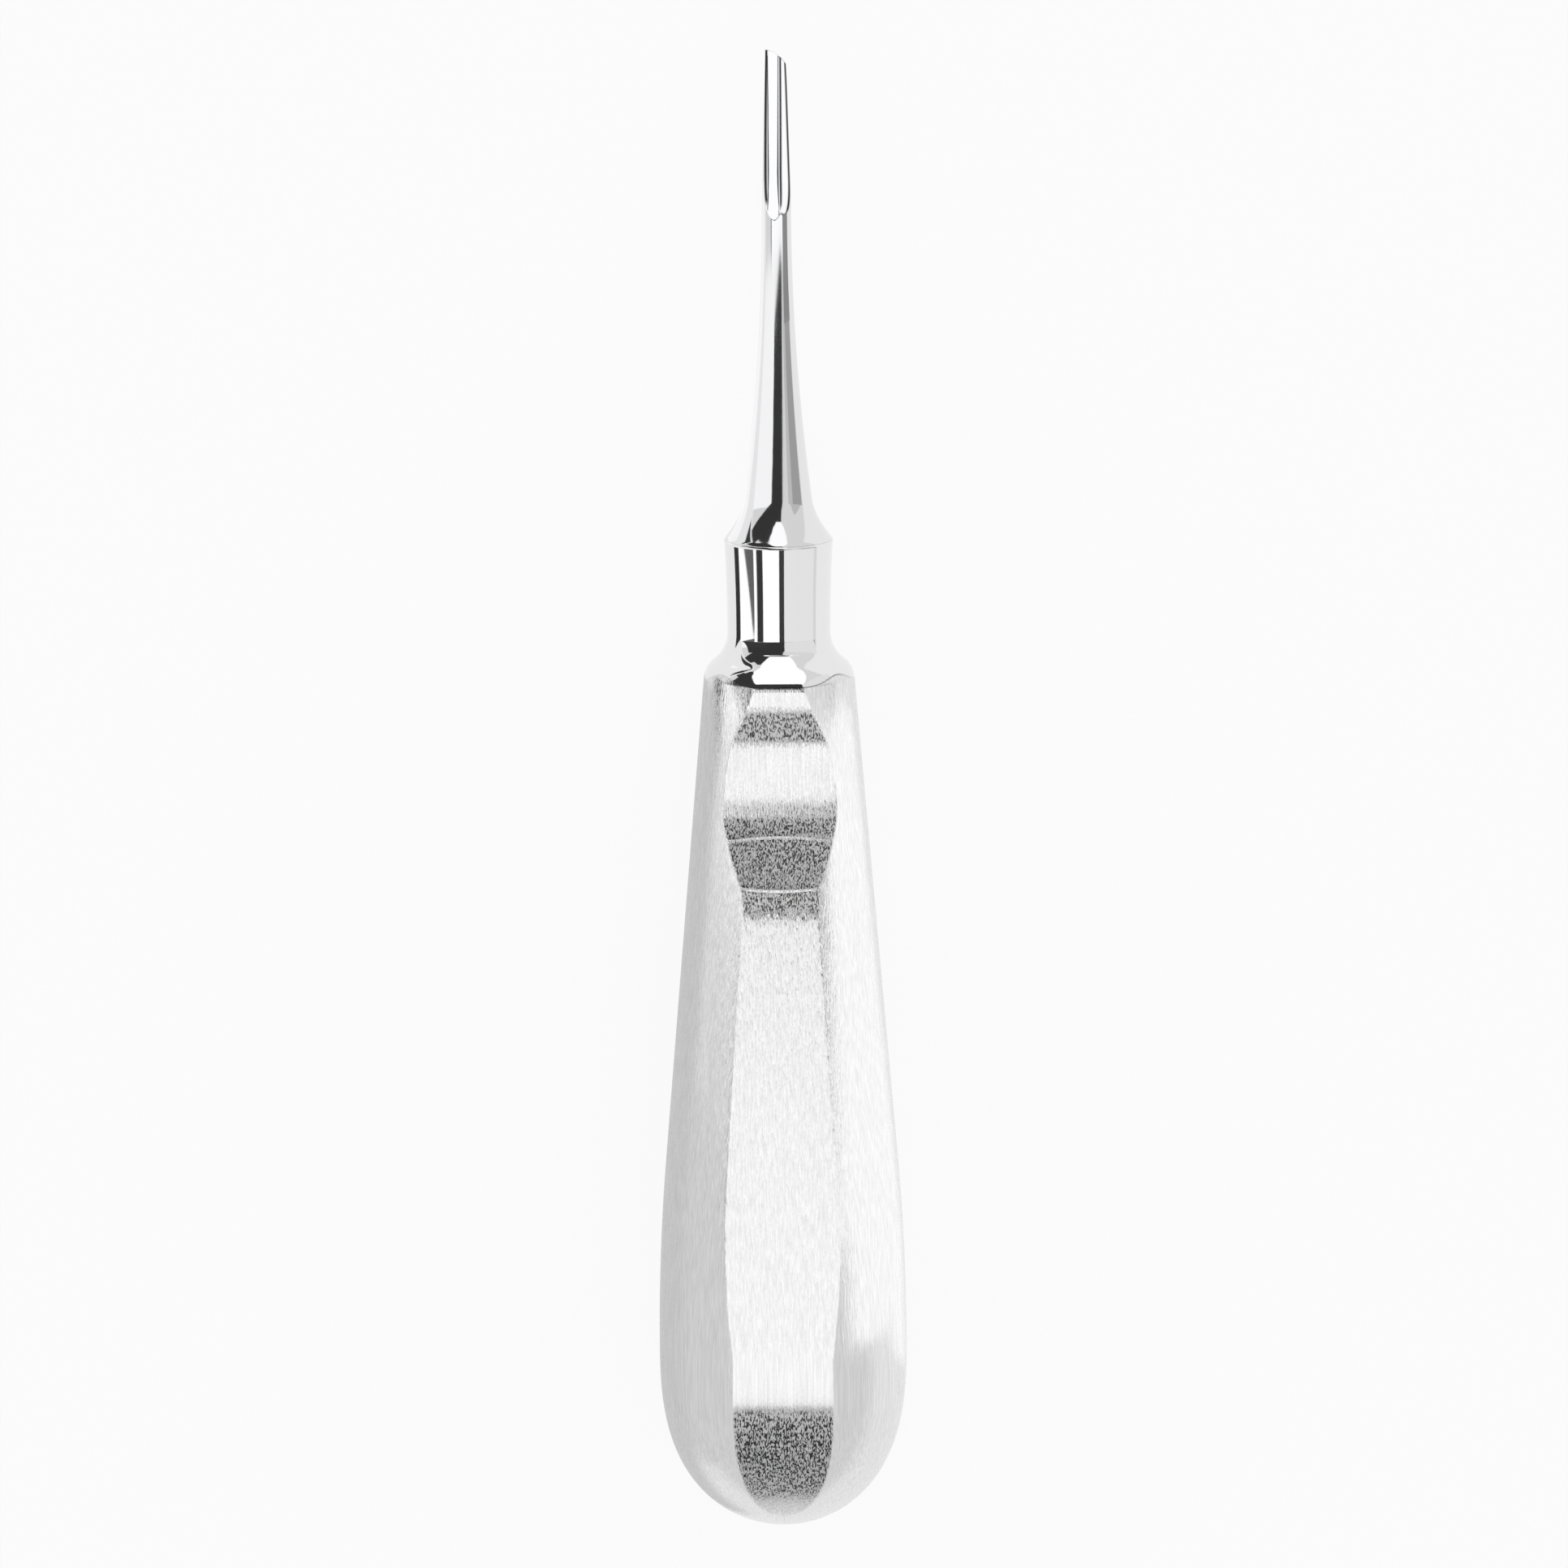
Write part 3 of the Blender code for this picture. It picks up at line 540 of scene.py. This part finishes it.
def glowing(name, points, tone):
    """A stage surface over a grid of points that only reflections see, at one brightness."""
    rows, columns = points.shape[:2]
    grid = np.arange(rows - 1)[:, None] * columns + np.arange(columns - 1)[None, :]
    first = grid.ravel()
    faces = np.stack([first, first + 1, first + columns + 1, first + columns], axis=-1).tolist()
    mesh = bpy.data.meshes.new(name)
    mesh.from_pydata(points.reshape(-1, 3).tolist(), [], faces)
    piece = bpy.data.objects.new(name, mesh)
    bpy.context.collection.objects.link(piece)
    material = bpy.data.materials.new(name)
    material.use_nodes = True
    tree = material.node_tree
    tree.nodes.clear()
    glow = Grain(tree).node("ShaderNodeEmission", {}, {"Strength": tone})
    out = tree.nodes.new("ShaderNodeOutputMaterial")
    tree.links.new(glow.socket, out.inputs["Surface"])
    mesh.materials.append(material)
    piece.visible_camera = False
    piece.visible_diffuse = False
    piece.visible_shadow = False


def panel(name, lean, left, right, tone):
    """A patch of the tent, a sphere over the instrument. It reaches along the instrument from
    one lean to the other, and round the instrument between a left and a right edge that each
    run straight from their first angle to their second, in degrees from straight above."""
    leans = np.linspace(lean[0], lean[1], PANEL_GRID[1])[None, :]
    low, high = np.interp(leans, lean, left), np.interp(leans, lean, right)
    turn = np.radians(low + (high - low) * np.linspace(0.0, 1.0, PANEL_GRID[0])[:, None])
    leans = np.radians(leans) + 0.0 * turn
    x, y, z = np.cos(leans) * np.sin(turn), np.sin(leans), np.cos(leans) * np.cos(turn)
    along = y * math.cos(FLAT_SLOPE) + z * math.sin(FLAT_SLOPE)
    up = z * math.cos(FLAT_SLOPE) - y * math.sin(FLAT_SLOPE)
    glowing(name, np.stack([x, along, up], axis=-1) * TENT_RADIUS, tone)


def hoop(name, distance, reach, left, right, tone):
    """A card bent round the instrument's axis between two stations, a tube or a cone by its
    distance at each, whose edges run straight from their first angle to their second."""
    along = np.linspace(reach[0], reach[1], HOOP_GRID[1])[None, :]
    low, high = np.interp(along, reach, left), np.interp(along, reach, right)
    distance = np.interp(along, reach, distance)
    turn = np.radians(low + (high - low) * np.linspace(0.0, 1.0, HOOP_GRID[0])[:, None])
    points = laid(distance * np.sin(turn), along + 0.0 * turn, distance * np.cos(turn))
    glowing(name, points, tone)


def reflector(name, side, profile, tone):
    """A card beside the instrument, bent to a profile. Each point gives a place across and up
    from the ground, and the stations along the instrument that the card reaches from and to."""
    profile = np.array(profile)
    across = profile[:, :1] * side + np.zeros((1, 2))
    along = profile[:, 2:] - TIP_Y / 2.0
    up = profile[:, 1:2] + np.zeros((1, 2))
    glowing(name, np.stack([across, along, up], axis=-1) * MM, tone)


# The tent as the handle, the shank's front and the shank's foot show it, from butt to tip
panel("butt_card", (-78.0, -25.5), (-22.0, -22.0), (22.0, 22.0), BLACK)
panel("flat_left_panel", (-25.5, -3.0), (-38.0, -38.0), (0.0, 0.0), WHITE)
panel("flat_gap_card", (-10.0, -3.0), (-46.0, -46.0), (-38.0, -38.0), 0.2)
panel("flat_right_panel", (-25.5, -3.0), (0.0, 0.0), (30.0, 30.0), WHITE)
panel("side_right_panel", (-9.0, -3.0), (30.0, 30.0), (80.0, 80.0), WHITE)
panel("strip_tip_card", (-6.5, -3.0), (31.5, 22.0), (38.0, 36.0), BLACK)
panel("strip_top_card", (-3.0, 0.0), (22.0, -20.0), (36.0, 30.0), BLACK)
panel("strip_card", (0.0, 7.5), (-20.0, -23.0), (30.0, 14.0), BLACK)
panel("lens_card", (7.5, 24.0), (-23.0, -50.0), (14.0, 11.0), BLACK)
panel("foot_card", (24.0, 41.5), (-50.0, -88.0), (11.0, 10.0), BLACK)
panel("foot_left_card", (41.5, 57.0), (-88.0, -91.0), (-7.0, -26.0), BLACK)
panel("foot_edge_card", (57.0, 66.0), (-70.0, -56.0), (-26.0, -40.0), BLACK)
panel("bevel_panel", (41.5, 57.0), (-7.0, -26.0), (10.0, 26.0), WHITE)
panel("foot_panel", (57.0, 88.0), (-26.0, -60.0), (26.0, 50.0), WHITE)

# The tent beside the shank, left and right of the black strip
panel("shank_left_top_panel", (-3.0, 0.0), (-91.0, -91.0), (22.0, -20.0), LEFT_TENT)
panel("shank_left_panel", (0.0, 7.5), (-91.0, -91.0), (-20.0, -23.0), LEFT_TENT)
panel("shank_left_foot_panel", (7.5, 15.0), (-91.0, -91.0), (-23.0, -35.3), LEFT_TENT)
panel("shank_right_near_panel", (-3.0, 9.0), (38.0, 34.0), (50.0, 50.0), 0.6)
panel("shank_right_far_panel", (-3.0, 9.0), (50.0, 50.0), (86.0, 86.0), 0.4)
panel("shank_right_foot_panel", (9.0, 26.0), (40.0, 52.0), (80.0, 58.0), 0.58)

# Nearer cards, which only the neck, the collar's flare, the shank or the blade shows
hoop("neck_far_panel", (50.0, 50.0), (78.0, 80.8), (-91.0, -91.0), (-47.5, -47.5), WHITE)
hoop("neck_patch_left_panel", (50.0, 50.0), (80.8, 87.0), (-91.0, -91.0), (-57.0, -84.0), WHITE)
hoop("neck_patch_card", (50.0, 50.0), (80.8, 87.0), (-57.0, -84.0), (-53.4, -53.4), 0.14)
hoop("neck_patch_right_panel", (50.0, 50.0), (80.8, 87.0), (-53.4, -53.4), (-47.5, -47.5), WHITE)
hoop("neck_gap_card", (80.0, 80.0), (72.0, 86.0), (-47.5, -47.5), (-34.0, -34.0), BLACK)
hoop("neck_panel", (80.0, 80.0), (72.0, 86.0), (-34.0, -34.0), (1.0, 1.0), WHITE)
hoop("neck_line_card", (80.0, 80.0), (72.0, 86.0), (1.0, 1.0), (12.0, 12.0), BLACK)
hoop("neck_right_panel", (80.0, 80.0), (72.0, 86.0), (12.0, 12.0), (80.0, 80.0), 0.92)
hoop("collar_card", (50.0, 18.0), (87.0, 94.5), (-86.0, -62.0), (12.0, 11.0), BLACK)
hoop("collar_right_panel", (50.0, 18.0), (87.0, 94.5), (12.0, 11.0), (80.0, 80.0), 0.88)
hoop("shank_tip_card", (12.0, 12.0), (118.0, 130.6), (44.0, 44.0), (86.0, 86.0), 0.3)
hoop("blade_panel", (12.0, 12.0), (131.0, 170.0), (-80.0, -80.0), (80.0, 80.0), WHITE)

# Cards low at the sides, for the flanks of the handle, the neck's outermost bar and the shank
reflector("handle_left_card", -1.0, ((8.0, 0.2, -20.0, 83.0), (90.0, 0.2, -20.0, 70.0)), 0.7)
reflector("butt_left_wall", -1.0, ((60.0, 0.3, -40.0, 40.0), (60.0, 62.0, -40.0, 40.0)), 0.78)
reflector("neck_bar_card", -1.0, ((29.0, 0.3, 81.0, 93.0), (110.0, 0.3, 66.0, 79.0)), BLACK)
reflector("handle_right_card", 1.0, ((18.0, 0.2, 12.0, 79.0), (50.0, 0.2, 12.0, 79.0),
                                     (50.0, 42.0, 12.0, 79.0)), WHITE)
reflector("foot_floor_card", -1.0, ((30.0, 0.3, 128.0, 200.0), (120.0, 0.3, 150.0, 330.0)), BLACK)
reflector("shank_left_card", -1.0, ((4.5, 0.2, 99.0, 131.0), (16.0, 0.2, 99.0, 131.0)), LEFT_TENT)

sweep_mesh = bpy.data.meshes.new("sweep")
corners = [(-SWEEP_HALF, -SWEEP_HALF, 0.0), (SWEEP_HALF, -SWEEP_HALF, 0.0),
           (SWEEP_HALF, SWEEP_HALF, 0.0), (-SWEEP_HALF, SWEEP_HALF, 0.0)]
sweep_mesh.from_pydata(corners, [], [(0, 1, 2, 3)])
sweep = bpy.data.objects.new("sweep", sweep_mesh)
bpy.context.collection.objects.link(sweep)
paper = bpy.data.materials.new("white_paper")
paper.use_nodes = True
tree = paper.node_tree
tree.nodes.clear()
start = Grain(tree)
rays = start.node("ShaderNodeLightPath", {}, {}, "Is Camera Ray")
light_path = rays.socket.node
seen = rays + Grain(tree, light_path.outputs["Is Glossy Ray"])
seen = seen + Grain(tree, light_path.outputs["Is Transmission Ray"])
matt = start.node("ShaderNodeBsdfDiffuse", {}, {"Color": PAPER_COLOUR})
white = start.node("ShaderNodeEmission", {}, {"Color": (1.0, 1.0, 1.0, 1.0), "Strength": 1.0})
mixed = start.node("ShaderNodeMixShader", {}, {0: SWEEP_WHITE_SHARE * seen, 1: matt, 2: white})
out = tree.nodes.new("ShaderNodeOutputMaterial")
tree.links.new(mixed.socket, out.inputs["Surface"])
sweep_mesh.materials.append(paper)

world = bpy.data.worlds.new("pale_tent")
world.use_nodes = True
world.node_tree.nodes["Background"].inputs["Color"].default_value = (1.0, 1.0, 1.0, 1.0)
world.node_tree.nodes["Background"].inputs["Strength"].default_value = TENT_TONE
bpy.context.scene.world = world

# Camera
# The lens looks down on the front flat from a little towards the tip, and is turned so that
# the tip leans slightly to the left, as in the photograph.

VIEW_TILT = math.radians(10.0)
VIEW_ROLL = math.radians(0.34)
FRAME_WIDTH = 152.05
LENS, SENSOR, FAR_END = 400.0, 36.0, 20.0
AIM_X, AIM_Y = 0.40, 73.2

flat_tilt = FLAT_SLOPE + VIEW_TILT
back = np.array([0.0, math.sin(flat_tilt), math.cos(flat_tilt)])
along = np.array([0.0, math.cos(flat_tilt), -math.sin(flat_tilt)])
across = np.array([1.0, 0.0, 0.0])
up = along * math.cos(VIEW_ROLL) + across * math.sin(VIEW_ROLL)
right = np.cross(up, back)
aim = laid(0.0, AIM_Y, 0.0) + right * AIM_X * MM
place = aim + back * FRAME_WIDTH * MM * LENS / SENSOR
data = bpy.data.cameras.new("studio_camera")
data.lens = LENS
data.sensor_width = SENSOR
data.clip_end = FAR_END
camera = bpy.data.objects.new("studio_camera", data)
bpy.context.collection.objects.link(camera)

# Blender takes the lists as the matrix's columns: the three directions, then the place
columns = np.zeros((4, 4))
columns[:, :3] = right, up, back, place
columns[3, 3] = 1.0
camera.matrix_world = columns.tolist()
bpy.context.scene.camera = camera
bpy.context.scene.view_settings.view_transform = "Standard"
